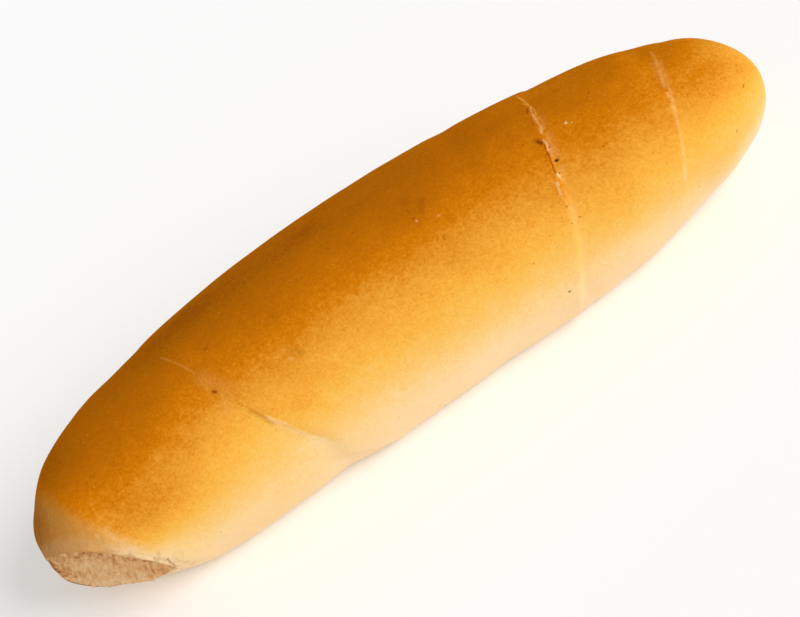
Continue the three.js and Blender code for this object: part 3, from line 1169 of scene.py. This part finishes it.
def crumb_relief(recipe, x, y, z):
    """Height of the threads and holes, from about -1 to 1. They are drawn out down the torn face."""
    fibres = uneven(threads(recipe, x, y, z, 5), 0.8, seed=61, detail=2)
    tufts = uneven(threads(recipe, x, y, z, 2), 2.6, seed=62)
    sockets = {"Vector": threads(recipe, x, y, z, 1.6), "Scale": 1 / HOLE_SIZE}
    cells = recipe.node("ShaderNodeTexVoronoi", {"feature": "SMOOTH_F1"}, sockets)
    return fibres * FIBRES + tufts * TUFTS + (HOLE_MIDDLE - cells) * HOLES


def crumb_skin(recipe, sizes, station, angle, below):
    """The crumb's point at a place on the dough, so far below its surface, and its height there."""
    at = wind(sizes, station, angle)
    relief = swell(at) + lumps(at)
    for seam in SEAMS:
        relief = relief + step_down(at, seam, past_seam(at, seam))
    whole = (at.x, *stand_out(at, relief))
    inside = inside_rim(at, *whole)
    sunk = CRUMB_SUNK * ease(inside, 0.15, -0.7)
    x, y, z = at.x, *stand_out(at, relief - sunk - below)
    height = crumb_relief(recipe, x, y, z)
    raised = (sizes["Crumb height"] * height - CRUMB_RECESS) * ease(inside, -0.1, 0.5)
    for tag_x, tag_angle, *reach, tag_height in TAGS:
        raised = raised + tag_height * bell(*away(at, tag_x, tag_angle, *reach))
    x, y, z = TORN_FACE.push(x, y, z, raised - torn_off(*whole))
    return (blunted(x), y, press_on_tray(z)), height


# %% Crumb plate
def grow_crumb():
    recipe = ShapeRecipe("torn_crumb")
    sizes = {name: recipe.size(name, size) for name, size in DOUGH_SIZES.items()}
    sizes["Crumb height"] = recipe.size("Crumb height", 0.3)
    along = recipe.size("Points along", 190)
    round_it = recipe.size("Points round", 250)

    sockets = {"Size": (1, 1, 1), "Vertices X": along, "Vertices Y": round_it}
    plate = recipe.node("GeometryNodeMeshCube", {}, sockets)
    x = recipe.node("ShaderNodeSeparateXYZ", {}, {"Vector": recipe.node("GeometryNodeInputPosition")})
    station = from_to(CRUMB_STATIONS, x + 0.5)
    angle = from_to(CRUMB_ANGLES, x.sibling("Y") + 0.5)
    point, height = crumb_skin(recipe, sizes, station, angle, CRUMB_THICKNESS * (0.5 - x.sibling("Z")))
    plate = recipe.store(plate, "height", height)
    return recipe, to_place(recipe, plate, *point)


crumb_recipe, crumb_shape = grow_crumb()
torn_crumb = crumb_recipe.grow(crumb_shape, CRUMB)

# %% [markdown]
# ## The studio
# A pale floor, an even white sky and one large soft sun from the front right, as by a window. The camera
# looks down on the roll from the front with a long lens, and is turned so that the roll lies across the
# corners of the picture.

# %% Floor and light
from mathutils import Matrix, Vector

FLOOR_RADIUS = 3.0
FLOOR_DROP = 0.2 * MM  # keeps the floor clear of the roll's flat base
FLOOR_LOOK = {
    "Base Color": (0.93, 0.93, 0.93, 1),
    "Roughness": 0.9,
    "Specular IOR Level": 0.0,
    "Emission Color": (1, 1, 1, 1),
    "Emission Strength": 0.12,  # keeps the floor nearly white in this soft light
}


def add_floor():
    bpy.ops.mesh.primitive_circle_add(
        vertices=128, radius=FLOOR_RADIUS, fill_type="NGON", location=(0, 0, -FLOOR_DROP)
    )
    floor = bpy.context.object
    floor.name = "floor"
    paint = bpy.data.materials.new("pale_floor")
    paint.use_nodes = True
    shader = paint.node_tree.nodes["Principled BSDF"]
    for name, value in FLOOR_LOOK.items():
        shader.inputs[name].default_value = value
    floor.data.materials.append(paint)


def add_light(sky_strength, sun_strength, sun_from, softness):
    world = bpy.data.worlds.new("studio")
    world.use_nodes = True
    sky = world.node_tree.nodes["Background"]
    sky.inputs["Color"].default_value = (1, 1, 1, 1)
    sky.inputs["Strength"].default_value = sky_strength
    bpy.context.scene.world = world
    lamp = bpy.data.lights.new("window", "SUN")
    lamp.energy = sun_strength
    lamp.angle = math.radians(softness)
    sun = bpy.data.objects.new("window", lamp)
    sun.rotation_euler = Vector(sun_from).to_track_quat("Z", "Y").to_euler()
    bpy.context.scene.collection.objects.link(sun)


add_floor()
add_light(sky_strength=0.58, sun_strength=1.8, sun_from=(1.08, -0.92, 1.0), softness=40)
bpy.context.scene.view_settings.view_transform = "Standard"
print("a floor, an even sky and one soft sun")

# %% Camera
LOOK_DOWN = math.radians(42)
PICTURE_TURN = math.radians(35.03)  # how far the roll is turned in the picture
CAMERA_AIM = Vector((0.6, -6.5, 20.3)) * MM
CAMERA_DISTANCE = 0.8  # metres
LENS = 183.76


def add_camera():
    backward = Vector((0, -math.cos(LOOK_DOWN), math.sin(LOOK_DOWN)))
    level = Vector((1, 0, 0))
    upright = backward.cross(level)
    right = level * math.cos(PICTURE_TURN) - upright * math.sin(PICTURE_TURN)
    up = upright * math.cos(PICTURE_TURN) + level * math.sin(PICTURE_TURN)
    data = bpy.data.cameras.new("camera")
    data.lens = LENS
    camera = bpy.data.objects.new("camera", data)
    axes = Matrix((right, up, backward)).transposed().to_4x4()
    camera.matrix_world = Matrix.Translation(CAMERA_AIM + backward * CAMERA_DISTANCE) @ axes
    bpy.context.scene.collection.objects.link(camera)
    bpy.context.scene.camera = camera


add_camera()
print("camera looks down by", round(math.degrees(LOOK_DOWN)), "degrees with a lens of", LENS, "mm")

# %% [markdown]
# ## Handing the pieces over
# Both pieces ride on the one body of the roll and together stand for the plain solid. The dressed
# roll has to stay within the solid's box.

for piece, slot in ((roll_crust, "crust"), (torn_crumb, "crumb")):
    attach(piece, "root")
    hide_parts("roll")
